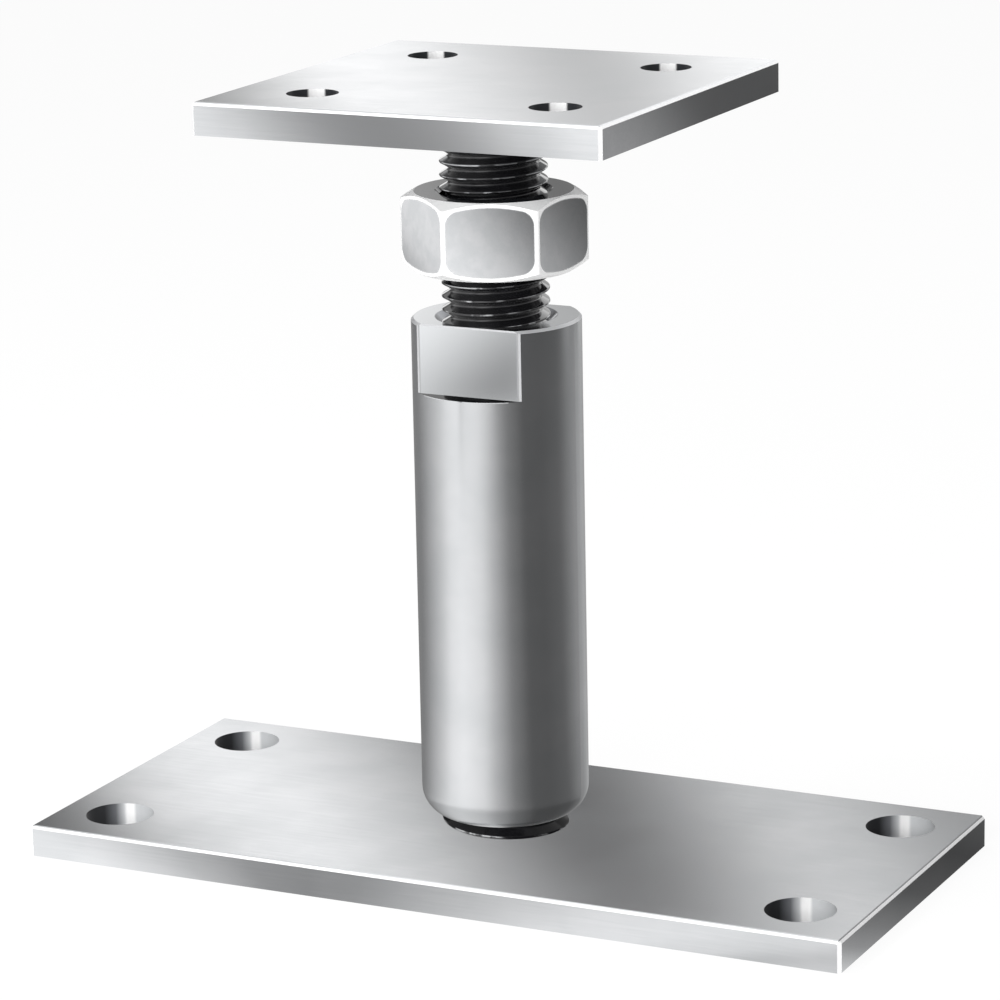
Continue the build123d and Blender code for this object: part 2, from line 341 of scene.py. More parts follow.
# Nut: cold forged hexagon, bright zinc plated. The dies leave it smooth, with a faint waviness.
# Its chamfers, corners and face borders are painted white, a painted highlight, and its turned
# bearing faces and its mouth are painted dark, a painted shade and a painted reflection of the dark
# rod.
nut = {
    # edge is a painted highlight on the chamfers, corners and face borders
    "light": toLinear("#E4E5E7"), "dark": toLinear("#DEE0E2"), "edge": toLinear("#FEFEFE"),
    # bearing and mouth are painted dark: a painted shade under the head plate and a painted
    # reflection of the dark rod
    "bearing": toLinear("#2A2B2E"), "mouth": toLinear("#232427"),
    "smooth": 0.06, "dull": 0.09, "bearingRoughness": 0.07,
    "edgeMetallic": 0.1, "edgeRoughness": 0.35, "bearingMetallic": 0.1, "bearingShine": 0.1,
    "waveMm": 3.0, "waveTone": (0.35, 0.65),
    "speckMm": 0.35, "speckShare": 0.5, "speckRelief": 0.2,
    "reliefMm": 0.001,
    "turn": 22.6,  # its faces stand square to 22.6 degrees from the front, and every 60 from there
    "mouthMm": 10.9,
    "acrossFlatsMm": 30.0, "faceMm": 29.4, "chamferSlope": 0.577,
    "highlightBorderMm": (2.7, 1.9, 2.25),  # reach of the painted highlight from a face's borders, and where it fades out
    "cornerTurn": (0.02, 0.06),  # a corner's rounding turns this share of 60 degrees off a face
    "standing": 0.5, "level": 0.97,  # sides face up less than this, and bearing faces more
    "chamfer": (0.585, 0.385),  # middle and reach of the chamfers' directions
}


def paintedHighlightBorder(tree, node, z, out):
    # painted highlight: a flat face is painted bright near the chamfers above and below it and near
    # its two corners
    low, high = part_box(node)
    half, middle = (high.z - low.z) / 2, (high.z + low.z) / 2
    reach, fadeStart, fadeEnd = [size * mm for size in nut["highlightBorderMm"]]
    flatHalf = nut["acrossFlatsMm"] / 2 * mm
    slope = nut["chamferSlope"]
    chamferStart = half + nut["faceMm"] / 2 * mm * slope
    above = addNode(tree, "Math", {"operation": "SUBTRACT", 0: z, 1: middle})
    offMiddle = addNode(tree, "Math", {"operation": "ABSOLUTE", 0: above})
    cone = addNode(tree, "Math", {
        "operation": "MULTIPLY_ADD", 0: out, 1: slope, 2: reach - chamferStart})
    overChamfer = addNode(tree, "Math", {"operation": "ADD", 0: offMiddle, 1: cone})
    nearChamfer = addNode(tree, "Math", {"operation": "MAXIMUM", 0: overChamfer, 1: 0.0})
    outSquared = addNode(tree, "Math", {"operation": "POWER", 0: out, 1: 2.0})
    alongSquared = addNode(tree, "Math", {
        "operation": "SUBTRACT", 0: outSquared, 1: flatHalf ** 2})
    outward = addNode(tree, "Math", {"operation": "MAXIMUM", 0: alongSquared, 1: 0.0})
    along = addNode(tree, "Math", {"operation": "SQRT", 0: outward})
    overCorner = addNode(tree, "Math", {
        "operation": "ADD", 0: along, 1: reach - flatHalf * math.tan(math.pi / 6)})
    nearCorner = addNode(tree, "Math", {"operation": "MAXIMUM", 0: overCorner, 1: 0.0})
    both = addNode(tree, "CombineXYZ", {0: nearChamfer, 1: nearCorner})
    near = addNode(tree, "VectorMath", {"operation": "LENGTH", 0: both})
    return addNode(tree, "MapRange", {
        **smooth, "Value": near, "From Min": fadeStart, "From Max": fadeEnd})


def nutMasks(tree, spot, facing, node):
    z = addNode(tree, "SeparateXYZ", {0: spot}).outputs[2]
    out = outFromAxis(tree, spot)
    signedRise = addNode(tree, "SeparateXYZ", {0: facing}).outputs[2]
    rise = addNode(tree, "Math", {"operation": "ABSOLUTE", 0: signedRise})

    # The corner roundings face away from the six directions of the flat faces.
    # Each face lies in the middle of a sixth, and twelve of them keep the number positive.
    sixths = addNode(tree, "Math", {
        "operation": "MULTIPLY_ADD", 0: azimuthOf(tree, facing), 1: 3 / math.pi,
        2: 12.5 - nut["turn"] / 60})
    share = addNode(tree, "Math", {"operation": "FRACT", 0: sixths})
    offFace = addNode(tree, "Math", {"operation": "SUBTRACT", 0: share, 1: 0.5})
    turnedAway = addNode(tree, "Math", {"operation": "ABSOLUTE", 0: offFace})
    cornerStart, cornerFull = nut["cornerTurn"]
    corner = addNode(tree, "MapRange", {
        **smooth, "Value": turnedAway, "From Min": cornerStart, "From Max": cornerFull})
    border = addNode(tree, "Math", {
        "operation": "MAXIMUM", 0: paintedHighlightBorder(tree, node, z, out), 1: corner})
    standing = addNode(tree, "Math", {"operation": "LESS_THAN", 0: rise, 1: nut["standing"]})
    side = addNode(tree, "Math", {"operation": "MULTIPLY", 0: border, 1: standing})
    middle, reach = nut["chamfer"]
    chamfer = addNode(tree, "Math", {"operation": "COMPARE", 0: rise, 1: middle, 2: reach})
    bright = addNode(tree, "Math", {"operation": "MAXIMUM", 0: chamfer, 1: side})
    mouth = addNode(tree, "Math", {"operation": "LESS_THAN", 0: out, 1: nut["mouthMm"] * mm})
    solid = addNode(tree, "Math", {"operation": "SUBTRACT", 0: 1.0, 1: mouth})
    edge = addNode(tree, "Math", {"operation": "MULTIPLY", 0: bright, 1: solid})
    bearing = addNode(tree, "Math", {"operation": "GREATER_THAN", 0: rise, 1: nut["level"]})
    return {"edge": edge, "bearing": bearing, "mouth": mouth}


def forgedNut(name, node):
    material, tree = newTree(name)
    place = addNode(tree, "TexCoord").outputs
    spot, facing = place["Object"], place["Normal"]
    wave = addNode(tree, "TexNoise", {
        "Vector": spot, "Scale": perMetre(nut["waveMm"]), "Detail": 3.0})
    speck = addNode(tree, "TexNoise", {
        "Vector": spot, "Scale": perMetre(nut["speckMm"]), "Detail": 2.0})
    masks = nutMasks(tree, spot, facing, node)

    darkest, lightest = nut["waveTone"]
    patch = addNode(tree, "MapRange", {
        **smooth, "Value": wave, "From Min": darkest, "From Max": lightest})
    colour = addNode(tree, "Mix", {
        **inColour, "Factor": patch, "A": nut["dark"], "B": nut["light"]})
    for part, mask in masks.items():
        colour = addNode(tree, "Mix", {**inColour, "Factor": mask, "A": colour, "B": nut[part]})
    tone = addNode(tree, "Mix", {"Factor": nut["speckShare"], "A": wave, "B": speck})
    roughness = addNode(tree, "MapRange", {
        **patchy, "Value": tone, "To Min": nut["dull"], "To Max": nut["smooth"]})
    for part in ("bearing", "edge"):
        roughness = addNode(tree, "Mix", {
            "Factor": masks[part], "A": roughness, "B": nut[part + "Roughness"]})
    metallic = addNode(tree, "Mix", {"Factor": masks["edge"], "A": 1.0, "B": nut["edgeMetallic"]})
    relief = addNode(tree, "Math", {
        "operation": "MULTIPLY_ADD", 0: speck, 1: nut["speckRelief"], 2: wave})
    finishMetal(tree, nut, relief, {
        "Base Color": colour,
        "Roughness": roughness,
        "Metallic": addNode(tree, "Mix", {
            "Factor": masks["bearing"], "A": metallic, "B": nut["bearingMetallic"]}),
        "Specular IOR Level": addNode(tree, "Mix", {
            "Factor": masks["bearing"], "A": plainShine, "B": nut["bearingShine"]}),
    })
    return material


# Threads: rolled steel, black oxide, oiled. The crests are painted light grey in broken dashes,
# partly wear from the nut and the sleeve and partly a painted highlight.
oxide = {
    "deep": toLinear("#121214"), "worn": toLinear("#242427"), "crest": toLinear("#C4C5C7"),
    "wet": 0.10, "dry": 0.18, "oil": 1.0, "oilRoughness": 0.06,
    "crestWearAndGlintMm": (0.07, 0.03),  # below the crest's top, where the crest's wear and painted highlight start and where they are full
    "blotchMm": 4.0, "speckMm": 0.25, "speckShare": 0.5,
    "wornTone": (0.45, 0.75), "dashTone": (0.46, 0.56),  # values of the blotches that these go with
    "bareFrom": 0.02,  # a crest painted more than this is bare metal
    "reliefMm": 0.002,
}


def blackOxide(name, thread):
    material, tree = newTree(name)
    spot = addNode(tree, "TexCoord").outputs["Object"]
    blotch = addNode(tree, "TexNoise", {
        "Vector": spot, "Scale": perMetre(oxide["blotchMm"]), "Detail": 3.0})
    speck = addNode(tree, "TexNoise", {
        "Vector": spot, "Scale": perMetre(oxide["speckMm"]), "Detail": 2.0})
    tone = addNode(tree, "Mix", {"Factor": oxide["speckShare"], "A": blotch, "B": speck})
    deepest, fullyWorn = oxide["wornTone"]
    patch = addNode(tree, "MapRange", {
        **smooth, "Value": tone, "From Min": deepest, "From Max": fullyWorn})
    oxidised = addNode(tree, "Mix", {
        **inColour, "Factor": patch, "A": oxide["deep"], "B": oxide["worn"]})
    begin, full = [(thread["radius"] - depth) * mm for depth in oxide["crestWearAndGlintMm"]]
    crestWearAndGlint = addNode(tree, "MapRange", {
        **smooth, "Value": outFromAxis(tree, spot), "From Min": begin, "From Max": full})
    dashStart, dashFull = oxide["dashTone"]
    dashes = addNode(tree, "MapRange", {
        **smooth, "Value": blotch, "From Min": dashStart, "From Max": dashFull})
    crest = addNode(tree, "Math", {"operation": "MULTIPLY", 0: crestWearAndGlint, 1: dashes})
    finishMetal(tree, oxide, speck, {
        "Base Color": addNode(tree, "Mix", {
            **inColour, "Factor": crest, "A": oxidised, "B": oxide["crest"]}),
        "Roughness": addNode(tree, "MapRange", {
            **patchy, "Value": blotch, "To Min": oxide["wet"], "To Max": oxide["dry"]}),
        "Metallic": addNode(tree, "Math", {
            "operation": "GREATER_THAN", 0: crest, 1: oxide["bareFrom"]}),
        "Specular IOR Level": plainShine * thread["shine"],
        "Coat Weight": oxide["oil"] * thread["shine"],
        "Coat Roughness": oxide["oilRoughness"],
    })
    return material


# Welds: arc weld metal, zinc plated with the plates. It is rougher than the rolled surface.
weldMetal = {
    "light": toLinear("#D2D3D4"), "dark": toLinear("#B2B4B5"),
    "smooth": 0.32, "dull": 0.45,
    "grindMm": (1.6, 0.3, 0.3), "patchMm": 3.0,
    "reliefMm": 0.01,
}


def weldBead(name):
    material, tree = newTree(name)
    spot = addNode(tree, "TexCoord").outputs["Object"]
    strokes = addNode(tree, "Mapping", {
        "Vector": spot, "Scale": [perMetre(size) for size in weldMetal["grindMm"]]})
    grind = addNode(tree, "TexNoise", {"Vector": strokes, "Scale": 1.0, "Detail": 2.0})
    patch = addNode(tree, "TexNoise", {
        "Vector": spot, "Scale": perMetre(weldMetal["patchMm"]), "Detail": 4.0})
    spread = addNode(tree, "MapRange", {**patchy, "Value": patch})
    finishMetal(tree, weldMetal, grind, {
        "Base Color": addNode(tree, "Mix", {
            **inColour, "Factor": spread, "A": weldMetal["dark"], "B": weldMetal["light"]}),
        "Roughness": addNode(tree, "Mix", {
            "Factor": spread, "A": weldMetal["dull"], "B": weldMetal["smooth"]}),
        "Metallic": 1.0,
    })
    return material


def paint(piece, material):
    piece.data.materials.clear()
    piece.data.materials.append(material)


# The two threads. A hand of 1 is right-handed and -1 left-handed.
# Shine is a share of the open thread's: the lower one shines less in the sleeve's shelter.
upperThread = {"radius": 10.0, "pitch": 2.5, "hand": 1, "shine": 1.0}
lowerThread = {"radius": 12.0, "pitch": 3.0, "hand": -1, "shine": 0.1}

upperSteel = blackOxide("black oxide rolled thread M20", upperThread)
lowerSteel = blackOxide("black oxide rolled thread M24", lowerThread)
beadSteel = weldBead("zinc plated weld metal")
for nodeName, material in (
    ("base_plate", platedBar("zinc plated flat bar base", "base_plate", baseHolePaintedLight)),
    ("head_plate", platedBar("zinc plated flat bar head", "head_plate", headHolePaintedLight)),
    ("adjusting_sleeve", turnedBar("turned zinc plated bar", "adjusting_sleeve")),
    ("lock_nut", forgedNut("cold forged zinc plated nut", "lock_nut")),
    ("base_weld", beadSteel),
    ("head_weld", beadSteel),
    ("lower_stud", lowerSteel),
    ("upper_rod", upperSteel),
):
    paint(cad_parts[nodeName], material)
print("materials ready")

# Points nearer to each other than this become one
closeMm = {"sweep": 0.001, "merge": 0.002, "cut": 0.0001}


def startAlone():
    if bpy.context.object and bpy.context.object.mode != "OBJECT":
        bpy.ops.object.mode_set(mode="OBJECT")
    bpy.ops.object.select_all(action="DESELECT")


def drawOutline(name, points):
    # one vertex, extruded from point to point of (radius, height), as a line for a turned shape
    startAlone()
    first = points[0]
    bpy.ops.mesh.primitive_plane_add(size=mm, location=(first[0], 0, first[1]))
    line = bpy.context.object
    line.name = name
    bpy.ops.object.mode_set(mode="EDIT")
    bpy.ops.mesh.select_all(action="SELECT")
    bpy.ops.mesh.merge(type="CENTER")
    for (r0, z0), (r1, z1) in zip(points, points[1:]):
        bpy.ops.mesh.extrude_region_move(
            TRANSFORM_OT_translate={"value": (r1 - r0, 0, z1 - z0)})
    bpy.ops.object.mode_set(mode="OBJECT")
    bpy.ops.object.transform_apply(location=True, rotation=True, scale=True)
    return line


def sweepRound(line, steps, rise=0.0, turns=1, hand=1):
    screw = line.modifiers.new("sweep", "SCREW")
    screw.angle, screw.screw_offset, screw.iterations = hand * 2 * math.pi, rise, turns
    screw.steps = screw.render_steps = steps
    screw.use_merge_vertices = True
    screw.merge_threshold = closeMm["sweep"] * mm
    bpy.ops.object.modifier_apply(modifier=screw.name)
    bpy.ops.object.mode_set(mode="EDIT")
    bpy.ops.mesh.select_all(action="SELECT")
    bpy.ops.mesh.remove_doubles(threshold=closeMm["merge"] * mm)
    bpy.ops.object.mode_set(mode="OBJECT")


def cutOff(height, above):
    # cuts the active piece level and closes it with a flat end
    bpy.ops.object.mode_set(mode="EDIT")
    bpy.ops.mesh.select_all(action="SELECT")
    bpy.ops.mesh.bisect(
        plane_co=(0, 0, height), plane_no=(0, 0, 1), use_fill=True,
        clear_outer=above, clear_inner=not above, threshold=closeMm["cut"] * mm)
    bpy.ops.object.mode_set(mode="OBJECT")


def closeUp(crease):
    # faces of the active piece outwards, smooth but for creases sharper than this
    bpy.ops.object.mode_set(mode="EDIT")
    bpy.ops.mesh.select_all(action="SELECT")
    bpy.ops.mesh.normals_make_consistent(inside=False)
    bpy.ops.object.mode_set(mode="OBJECT")
    bpy.ops.object.shade_smooth_by_angle(angle=math.radians(crease))


# Rolled metric thread, 60 degrees between its flanks, with a round root and a slightly round crest
threadForm = {
    "depth": 0.6134, "rootRadius": 0.1443, "crestRadius": 0.1083,  # shares of the pitch
    "arc": 60, "arcStep": 20,  # a rounding turns this far before it meets the flank
    "steps": 84, "spareTurns": 2,
    "crease": 25,
}


def roundOff(radius, bulge, height, start, stop):
    # an arc of (radius, height) from angle to angle, hollow in a root and full on a crest
    angles = [math.radians(a) for a in range(start, stop + 1, threadForm["arcStep"])]
    return [(radius + bulge * (1 - math.cos(t)), abs(bulge) * math.sin(t) + height) for t in angles]


def threadOutline(radius, pitch):
    # one pitch as (radius, height), from root to root about a crest at height 0
    inner, outer = threadForm["rootRadius"] * pitch, threadForm["crestRadius"] * pitch
    root, arc = radius - threadForm["depth"] * pitch, threadForm["arc"]
    return [
        *roundOff(root, inner, -pitch / 2, 0, arc),
        *roundOff(radius, -outer, 0, -arc, arc),
        *roundOff(root, inner, pitch / 2, -arc, 0),
    ]


def cutThread(name, node, steel, thread, freeEnd, fixedEnd):
    # the crest line is drawn one pitch below the lower end and swept past the upper end
    radius, pitch = thread["radius"], thread["pitch"]
    low, high = min(freeEnd, fixedEnd), max(freeEnd, fixedEnd)
    outline = [(r * mm, (z + low - pitch) * mm) for r, z in threadOutline(radius, pitch)]
    rod = drawOutline(name, outline)
    turns = math.ceil((high - low) / pitch) + threadForm["spareTurns"]
    sweepRound(rod, threadForm["steps"], pitch * mm, turns, thread["hand"])
    cutOff(low * mm, above=False)
    cutOff(high * mm, above=True)
    depth = threadForm["depth"] * pitch
    for v in rod.data.vertices:
        # lead-in chamfer at the free end
        fromEnd = abs(v.co.z / mm - freeEnd)
        limit = (radius - depth + fromEnd) * mm
        across = math.hypot(v.co.x, v.co.y)
        if fromEnd < depth and across > limit:
            v.co.x, v.co.y = v.co.x * limit / across, v.co.y * limit / across
    closeUp(threadForm["crease"])
    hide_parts(node)
    paint(rod, steel)
    return rod


# Upper rod: M20 x 2.5, right hand. Its free end is in the sleeve
rodLow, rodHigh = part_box("upper_rod")
upperRod = cutThread(
    "upper_rod_thread", "upper_rod", upperSteel, upperThread, rodLow.z / mm, rodHigh.z / mm)
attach(upperRod, "head")
print("upper rod threaded")

# Lower stud: M24 x 3, left hand, with a plain turned end through the base plate
studEnd = {"spigotRadius": 9.0, "overlap": 0.8, "segments": 96}  # overlap is inside the thread
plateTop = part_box("base_plate")[1].z
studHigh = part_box("lower_stud")[1].z


def addSpigot(stud):
    startAlone()
    top = plateTop + studEnd["overlap"] * mm
    bpy.ops.mesh.primitive_cylinder_add(
        vertices=studEnd["segments"], radius=studEnd["spigotRadius"] * mm, depth=top,
        location=(0, 0, top / 2))
    spigot = bpy.context.object
    bpy.ops.object.transform_apply(location=True)
    union = stud.modifiers.new("spigot", "BOOLEAN")
    union.operation, union.object, union.solver = "UNION", spigot, "EXACT"
    startAlone()
    stud.select_set(True)
    bpy.context.view_layer.objects.active = stud
    bpy.ops.object.modifier_apply(modifier=union.name)
    bpy.data.objects.remove(spigot)
    closeUp(threadForm["crease"])


lowerStud = cutThread(
    "lower_stud_thread", "lower_stud", lowerSteel, lowerThread, studHigh / mm, plateTop / mm)
addSpigot(lowerStud)
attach(lowerStud, "foot")
print("lower stud threaded")

# Fillet weld round the rod, under the head plate: overlapping ripples left by the arc
bead = {
    "leg": 4.0, "crown": 0.35, "sunk": 0.5,  # sunk is how far it reaches into the rod
    "arcPoints": 9, "steps": 240, "crease": 60,
    "ripples": 30, "ripple": 0.16,  # how many there are round the rod, and how high each is
    "bow": 0.5, "middle": 0.6,  # the front edge's bow and the middle height, in shares of a ripple
    "rippled": (0.02, 0.99), "plain": 0.05,  # shares of the leg, and a plain border under the plate
}


def rippledBead():
    rod, top = upperThread["radius"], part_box("head_weld")[1].z / mm
    leg, diagonal = bead["leg"], math.sqrt(2)
    outline = []
    for i in range(bead["arcPoints"] + 1):
        t = i / bead["arcPoints"]
        bulge = bead["crown"] * 4 * t * (1 - t) / diagonal
        outline.append((rod + leg * t + bulge, top - leg * (1 - t) - bulge))
    outline += [(rod - bead["sunk"], top), (rod - bead["sunk"], top - leg), outline[0]]
    weld = drawOutline("head_weld_bead", [(r * mm, z * mm) for r, z in outline])
    sweepRound(weld, bead["steps"])
    start, stop = bead["rippled"]
    for v in weld.data.vertices:
        across = math.hypot(v.co.x, v.co.y) / mm
        t = min(max((across - rod) / leg, 0), 1)
        if start < t < stop and v.co.z / mm < top - bead["plain"]:
            # each ripple is a shallow scallop whose front edge bows with the travel of the arc
            turn = math.atan2(v.co.y, v.co.x) / (2 * math.pi) * bead["ripples"]
            phase = (turn + bead["bow"] * math.sin(math.pi * t)) % 1
            lift = bead["ripple"] * (math.sqrt(phase) - bead["middle"]) * math.sin(math.pi * t)
            grown = (across + lift / diagonal) / across
            v.co.x, v.co.y, v.co.z = v.co.x * grown, v.co.y * grown, v.co.z - lift * mm / diagonal
    closeUp(bead["crease"])
    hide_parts("head_weld")
    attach(weld, "head")
    paint(weld, beadSteel)


rippledBead()
print("weld bead laid")

# The base plate, the column and the lower stud are hidden from reflections, so they don't mirror
# each other; the floor's painted tones stand in for them
for piece in (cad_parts["base_plate"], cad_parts["adjusting_sleeve"], lowerStud):
    piece.visible_glossy = False

# Stage: a pale floor, and a glowing ring round the object that only its metal reflects. The ring's
# tones, and the floor's as the metal sees it, are painted reflections that give the metal its light
# and dark bands.
# A pair of levels is where the tones above start to mix in, and where they are full.
stage = {
    "floorSize": 9.0, "floorColour": "#F2F2F2",
    "whiteShare": 0.85, "whiteStrength": 1.04,  # the rest of the floor's light keeps the shadow
    "ambient": 0.55,  # how strongly the white world lights the object
    "wallRadius": 0.3, "wallHeight": 0.45, "wallSegments": 128,
    "near": (0.025, 0.027),  # reflections of the floor from nearer than this have their own tones
    "plateTone": 0.8,  # share of the floor's brightness left where the base plate stands, a painted shade seen in reflections in place of the hidden plate
    "plateFade": 0.002,
    "lean": 120.0, "leanHeight": 0.1,  # degrees for each metre of height, and where there is none
    "lowLean": ((0.024, 0.042, 7.5, 1.5), (0.042, 0.045, 0.0, -1.5)),  # heights, degrees at each
    "frontFrom": 250,  # azimuth where the middle tones end and the front tones begin
    "flatAhead": (329, 331.5, 337, 338.6),  # azimuths that the sleeve's flat reflects, soft ends
    "flatLevel": (0.0195, 0.0225), "sleeveLevel": (0.044, 0.051), "topLevel": (0.16, 0.176),
}

# Brightness by azimuth: 0 is the front, 90 the right, 180 the back, and a tone of 1 is white
lowTones = {  # the floor and the foot of the ring, seen in the sleeve
    0: 0.93, 15: 0.61, 37: 0.26, 60: 0.12, 84: 0.115, 112: 0.145, 141: 0.3, 170: 0.47, 206: 0.33,
    230: 0.24, 250: 0.25, 265: 0.34, 283: 0.53, 300: 0.75, 315: 1.02, 333: 1.12, 346: 1.04,
    360: 0.92,
}
middleTones = {  # the ring's right and back, seen in the base plate's top and in the nut
    0: 1.05, 10: 1.2, 12: 1.15, 14.3: 0.86, 16: 0.5, 17.7: 0.18, 20: 0.12, 112: 0.1, 127: 0.5,
    130.6: 0.56, 132.6: 0.34, 134: 0.16, 136: 0.08, 139: 0.2, 143: 0.42, 146: 0.34, 149: 0.1,
    156: 0.08, 164: 1.0, 172: 1.0, 178: 0.3, 185: 0.34, 188: 0.64, 193: 0.88, 198: 0.34,
    201.5: 0.1, 205.5: 0.1, 211: 0.66, 217: 1.22, 221: 1.2, 223.5: 1.0, 227: 0.1,
}
frontTones = {  # its left and front, seen in the head plate's front, the flat and the nut
    0: 0.1, 252: 0.3, 254.5: 0.36, 255.4: 0.6, 256.3: 1.1, 257.2: 0.95, 262: 0.82, 305: 0.85,
    318: 1.12, 325.6: 1.28, 328: 1.08, 330: 0.8, 333: 0.34, 336: 0.28, 339: 0.39, 342: 0.85,
    345: 1.25, 350: 1.2, 360: 1.05,
}
topTones = {  # the ring's top, seen in the head plate's top
    0: 1.6, 12: 1.6, 22: 0.7, 50: 0.62, 100: 0.55, 140: 0.5, 160: 1.1, 203: 1.32, 207: 1.2,
    209.5: 0.84, 212: 0.5, 216: 0.68, 219.5: 1.0, 223: 1.25, 226: 1.28, 228: 0.95, 231: 0.36,
    245: 0.4, 260: 0.7, 300: 0.8, 345: 0.9, 352: 1.6, 360: 1.6,
}
stripTones = {  # the floor close by, seen in the base plate's sides
    0: 0.62, 16: 0.76, 34: 0.98, 48: 1.04, 56: 0.92, 60: 0.72, 65: 0.8, 74: 0.36, 82: 0.23,
    95: 0.11, 110: 0.07, 150: 0.2, 240: 0.5, 290: 1.15, 299: 1.14, 304: 0.93, 311: 0.63,
    320: 0.4, 329: 0.36, 340: 0.4, 360: 0.62,
}


def toneRamp(tree, azimuth, tones):
    ramp = addNode(tree, "ValToRGB", {0: azimuth})
    setStops(ramp, {angle / 360: (tone, tone, tone, 1) for angle, tone in tones.items()})
    return ramp


def shareOfTurn(tree, spot):
    turn = addNode(tree, "Math", {
        "operation": "MULTIPLY_ADD", 0: azimuthOf(tree, spot), 1: 0.5 / math.pi, 2: 1.0})
    return addNode(tree, "Math", {"operation": "FRACT", 0: turn})


def floorTone(tree):
    rays = addNode(tree, "LightPath").outputs
    spot = addNode(tree, "TexCoord").outputs["Object"]
    azimuth = shareOfTurn(tree, spot)
    near, far = stage["near"]
    isFar = addNode(tree, "MapRange", {
        **smooth, "Value": rays["Ray Length"], "From Min": near, "From Max": far})
    # from near, the sleeve's foot reflects the plate's place, painted darker as a painted shade,
    # and the plate's sides the rest
    unsigned = addNode(tree, "VectorMath", {"operation": "ABSOLUTE", 0: spot})
    away = addNode(tree, "VectorMath", {
        "operation": "SUBTRACT", 0: unsigned, 1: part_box("base_plate")[1]})
    parts = addNode(tree, "SeparateXYZ", {0: away}).outputs
    furthest = addNode(tree, "Math", {"operation": "MAXIMUM", 0: parts[0], 1: parts[1]})
    inside = addNode(tree, "MapRange", {
        **smooth, "Value": furthest, "From Min": 0.0, "From Max": -stage["plateFade"]})
    low = toneRamp(tree, azimuth, lowTones)
    plateShadePainted = addNode(tree, "Mix", {
        **inColour, "Factor": stage["plateTone"], "A": (0, 0, 0, 1), "B": low})
    nearTone = addNode(tree, "Mix", {
        **inColour, "Factor": inside, "A": toneRamp(tree, azimuth, stripTones), "B": plateShadePainted})
    return addNode(tree, "Mix", {**inColour, "Factor": isFar, "A": nearTone, "B": low})


def ringGlowTone(tree):
    spot = addNode(tree, "TexCoord").outputs["Object"]
    z = addNode(tree, "SeparateXYZ", {0: spot}).outputs[2]
    azimuth = shareOfTurn(tree, spot)

    def overLevel(name):
        start, full = stage[name]
        return addNode(tree, "MapRange", {
            **smooth, "Value": z, "From Min": start, "From Max": full})

    # the bands on the ring lean, as the shades on the plates do
    lean = stage["lean"] / 360
    leaning = addNode(tree, "Math", {
        "operation": "MULTIPLY_ADD", 0: z, 1: lean, 2: 1 - stage["leanHeight"] * lean})
    for start, stop, atStart, atStop in stage["lowLean"]:
        extra = addNode(tree, "MapRange", {
            "Value": z, "From Min": start, "From Max": stop,
            "To Min": atStart / 360, "To Max": atStop / 360})
        leaning = addNode(tree, "Math", {"operation": "ADD", 0: leaning, 1: extra})
    turned = addNode(tree, "Math", {"operation": "ADD", 0: azimuth, 1: leaning})
    slanted = addNode(tree, "Math", {"operation": "FRACT", 0: turned})
    # one ramp holds 32 stops, so the middle and the front have one each
    isFront = addNode(tree, "Math", {
        "operation": "GREATER_THAN", 0: slanted, 1: stage["frontFrom"] / 360})
    middle = addNode(tree, "Mix", {
        **inColour, "Factor": isFront,
        "A": toneRamp(tree, slanted, middleTones), "B": toneRamp(tree, slanted, frontTones)})

    # ahead of the sleeve's flat, the front tones start lower down than elsewhere
    fadeIn, fullFrom, fullTo, fadeOut = [angle / 360 for angle in stage["flatAhead"]]
    after = addNode(tree, "MapRange", {
        **smooth, "Value": azimuth, "From Min": fadeIn, "From Max": fullFrom})
    before = addNode(tree, "MapRange", {
        **smooth, "Value": azimuth, "From Min": fadeOut, "From Max": fullTo})
    ahead = addNode(tree, "Math", {"operation": "MULTIPLY", 0: after, 1: before})
    inFlat = addNode(tree, "Math", {
        "operation": "MULTIPLY", 0: ahead, 1: overLevel("flatLevel")})
    share = addNode(tree, "Math", {
        "operation": "MAXIMUM", 0: overLevel("sleeveLevel"), 1: inFlat})
    lower = addNode(tree, "Mix", {
        **inColour, "Factor": share, "A": toneRamp(tree, azimuth, lowTones), "B": middle})
    return addNode(tree, "Mix", {
        **inColour, "Factor": overLevel("topLevel"), "A": lower,
        "B": toneRamp(tree, slanted, topTones)})


def addFloor():
    startAlone()
    bpy.ops.mesh.primitive_plane_add(size=stage["floorSize"], location=(0, 0, 0))
    floor = bpy.context.object
    floor.name = "floor"
    material, tree = newTree("pale floor")
    rays = addNode(tree, "LightPath").outputs
    seen = addNode(tree, "Emission", {"Color": (1, 1, 1, 1), "Strength": stage["whiteStrength"]})
    reflected = addNode(tree, "Emission", {"Color": floorTone(tree), "Strength": 1.0})
    lit = addNode(tree, "BsdfDiffuse", {"Color": toLinear(stage["floorColour"])})
    direct = addNode(tree, "Math", {
        "operation": "MAXIMUM", 0: rays["Is Camera Ray"], 1: rays["Is Transmission Ray"]})
    share = addNode(tree, "Math", {"operation": "MULTIPLY", 0: direct, 1: stage["whiteShare"]})
    white = addNode(tree, "MixShader", {0: share, 1: lit, 2: seen})
    both = addNode(tree, "MixShader", {0: rays["Is Glossy Ray"], 1: white, 2: reflected})
    addNode(tree, "OutputMaterial", {"Surface": both})
    paint(floor, material)


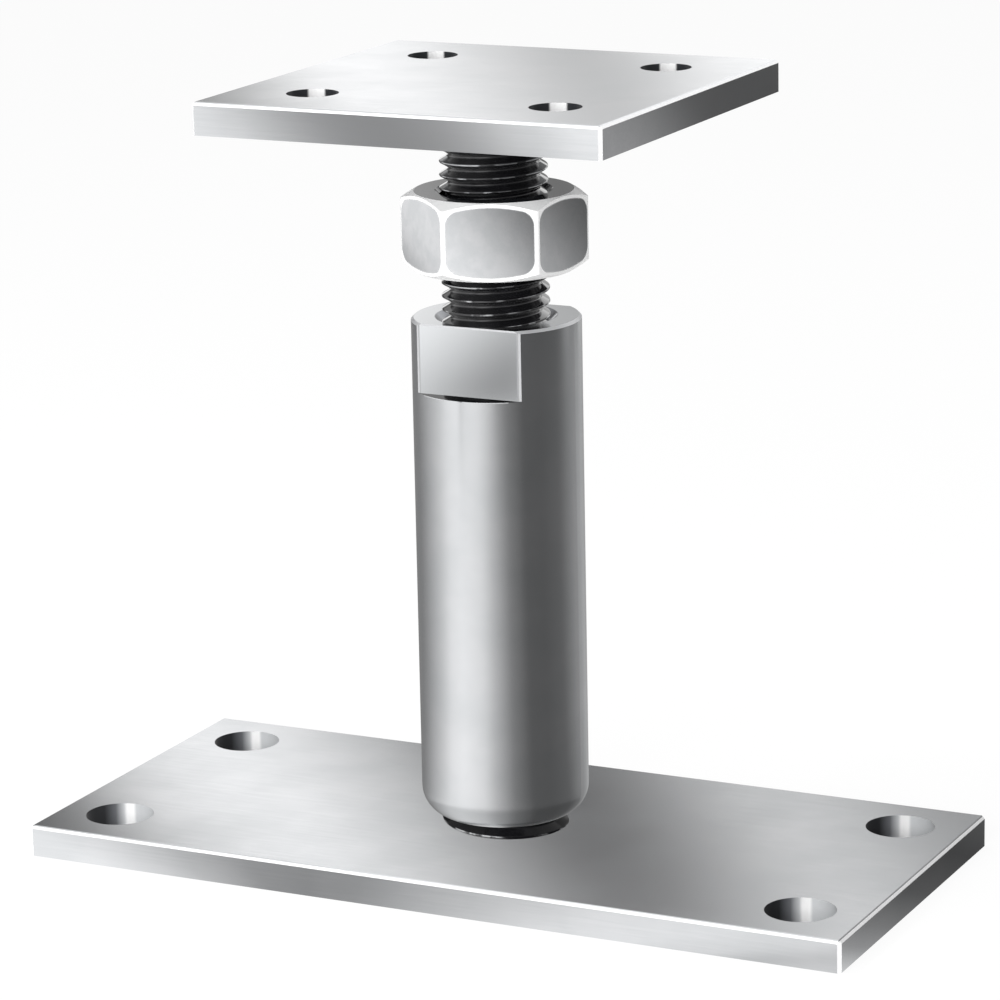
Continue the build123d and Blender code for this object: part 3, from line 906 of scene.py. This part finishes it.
def addGlowRing():
    startAlone()
    height = stage["wallHeight"]
    bpy.ops.mesh.primitive_cylinder_add(
        vertices=stage["wallSegments"], radius=stage["wallRadius"], depth=height,
        end_fill_type="NOTHING", location=(0, 0, height / 2))
    wall = bpy.context.object
    wall.name = "glow_ring"
    bpy.ops.object.transform_apply(location=True)
    bpy.ops.object.shade_smooth()
    material, tree = newTree("glow ring")
    # the ring glows with painted tones, a painted reflection for the metal
    glow = addNode(tree, "Emission", {"Color": ringGlowTone(tree), "Strength": 1.0})
    addNode(tree, "OutputMaterial", {"Surface": glow})
    paint(wall, material)
    wall.visible_camera = wall.visible_diffuse = wall.visible_shadow = False
    wall.visible_transmission = wall.visible_volume_scatter = False


def direction(azimuth, elevation):
    a, e = math.radians(azimuth), math.radians(elevation)
    return Vector((math.sin(a) * math.cos(e), -math.cos(a) * math.cos(e), math.sin(e)))


# Softboxes: strength is how many times brighter than white their cloth looks.
# The fill stands low in front and lights the nut under the head plate.
softboxes = {
    "key": {"azimuth": -60, "elevation": 60, "distance": 0.75, "size": (0.16, 0.16),
            "strength": 18.0},
    "overhead": {"azimuth": 206, "elevation": 76, "distance": 0.8, "size": (0.5, 0.5),
                 "strength": 1.0},
    "fill": {"azimuth": 5, "elevation": 16, "distance": 0.9, "size": (0.6, 0.4),
             "strength": 9.0},
}
lampAim = (0, 0, 0.08)  # half way up the column


def addSoftbox(name, box):
    away = direction(box["azimuth"], box["elevation"])
    bpy.ops.object.light_add(type="AREA", location=Vector(lampAim) + away * box["distance"])
    lamp = bpy.context.object
    lamp.name = name
    lamp.rotation_mode = "QUATERNION"
    lamp.rotation_quaternion = (-away).to_track_quat("-Z", "Y")
    lamp.data.shape = "RECTANGLE"
    lamp.data.size, lamp.data.size_y = box["size"]
    lamp.data.energy = box["strength"] * math.pi * lamp.data.size * lamp.data.size_y
    lamp.visible_camera = lamp.visible_glossy = False


def whiteWorld():
    world = bpy.data.worlds.new("white studio")
    bpy.context.scene.world = world
    world.use_nodes = True
    tree = world.node_tree
    tree.nodes.clear()
    rays = addNode(tree, "LightPath").outputs
    mirrored = addNode(tree, "Math", {
        "operation": "MAXIMUM", 0: rays["Is Glossy Ray"], 1: rays["Is Transmission Ray"]})
    seen = addNode(tree, "Math", {"operation": "MAXIMUM", 0: rays["Is Camera Ray"], 1: mirrored})
    strength = addNode(tree, "MapRange", {
        "Value": seen, "To Min": stage["ambient"], "To Max": 1.0})
    sky = addNode(tree, "Background", {"Color": (1, 1, 1, 1), "Strength": strength})
    addNode(tree, "OutputWorld", {"Surface": sky})


# Camera at the photograph's angle, fitted to the corners and holes of both plates
shot = {
    "azimuth": 26.05, "elevation": 14.31, "distance": 0.8066,
    "lens": 156.2, "sensor": 36.0, "roll": -1.137, "aimHeight": 0.0686,
}


def addCamera():
    back = direction(shot["azimuth"], shot["elevation"])
    aim = Vector((0, 0, shot["aimHeight"]))
    bpy.ops.object.camera_add(location=aim + back * shot["distance"])
    camera = bpy.context.object
    camera.name = "camera"
    camera.rotation_mode = "QUATERNION"
    level = (-back).to_track_quat("-Z", "Y")
    camera.rotation_quaternion = level @ Quaternion((0, 0, 1), math.radians(shot["roll"]))
    camera.data.lens, camera.data.sensor_width = shot["lens"], shot["sensor"]
    bpy.context.scene.camera = camera


addFloor()
addGlowRing()
for boxName, box in softboxes.items():
    addSoftbox(boxName, box)
whiteWorld()
addCamera()
bpy.context.scene.view_settings.view_transform = "Standard"
print("stage, lamps and camera ready")
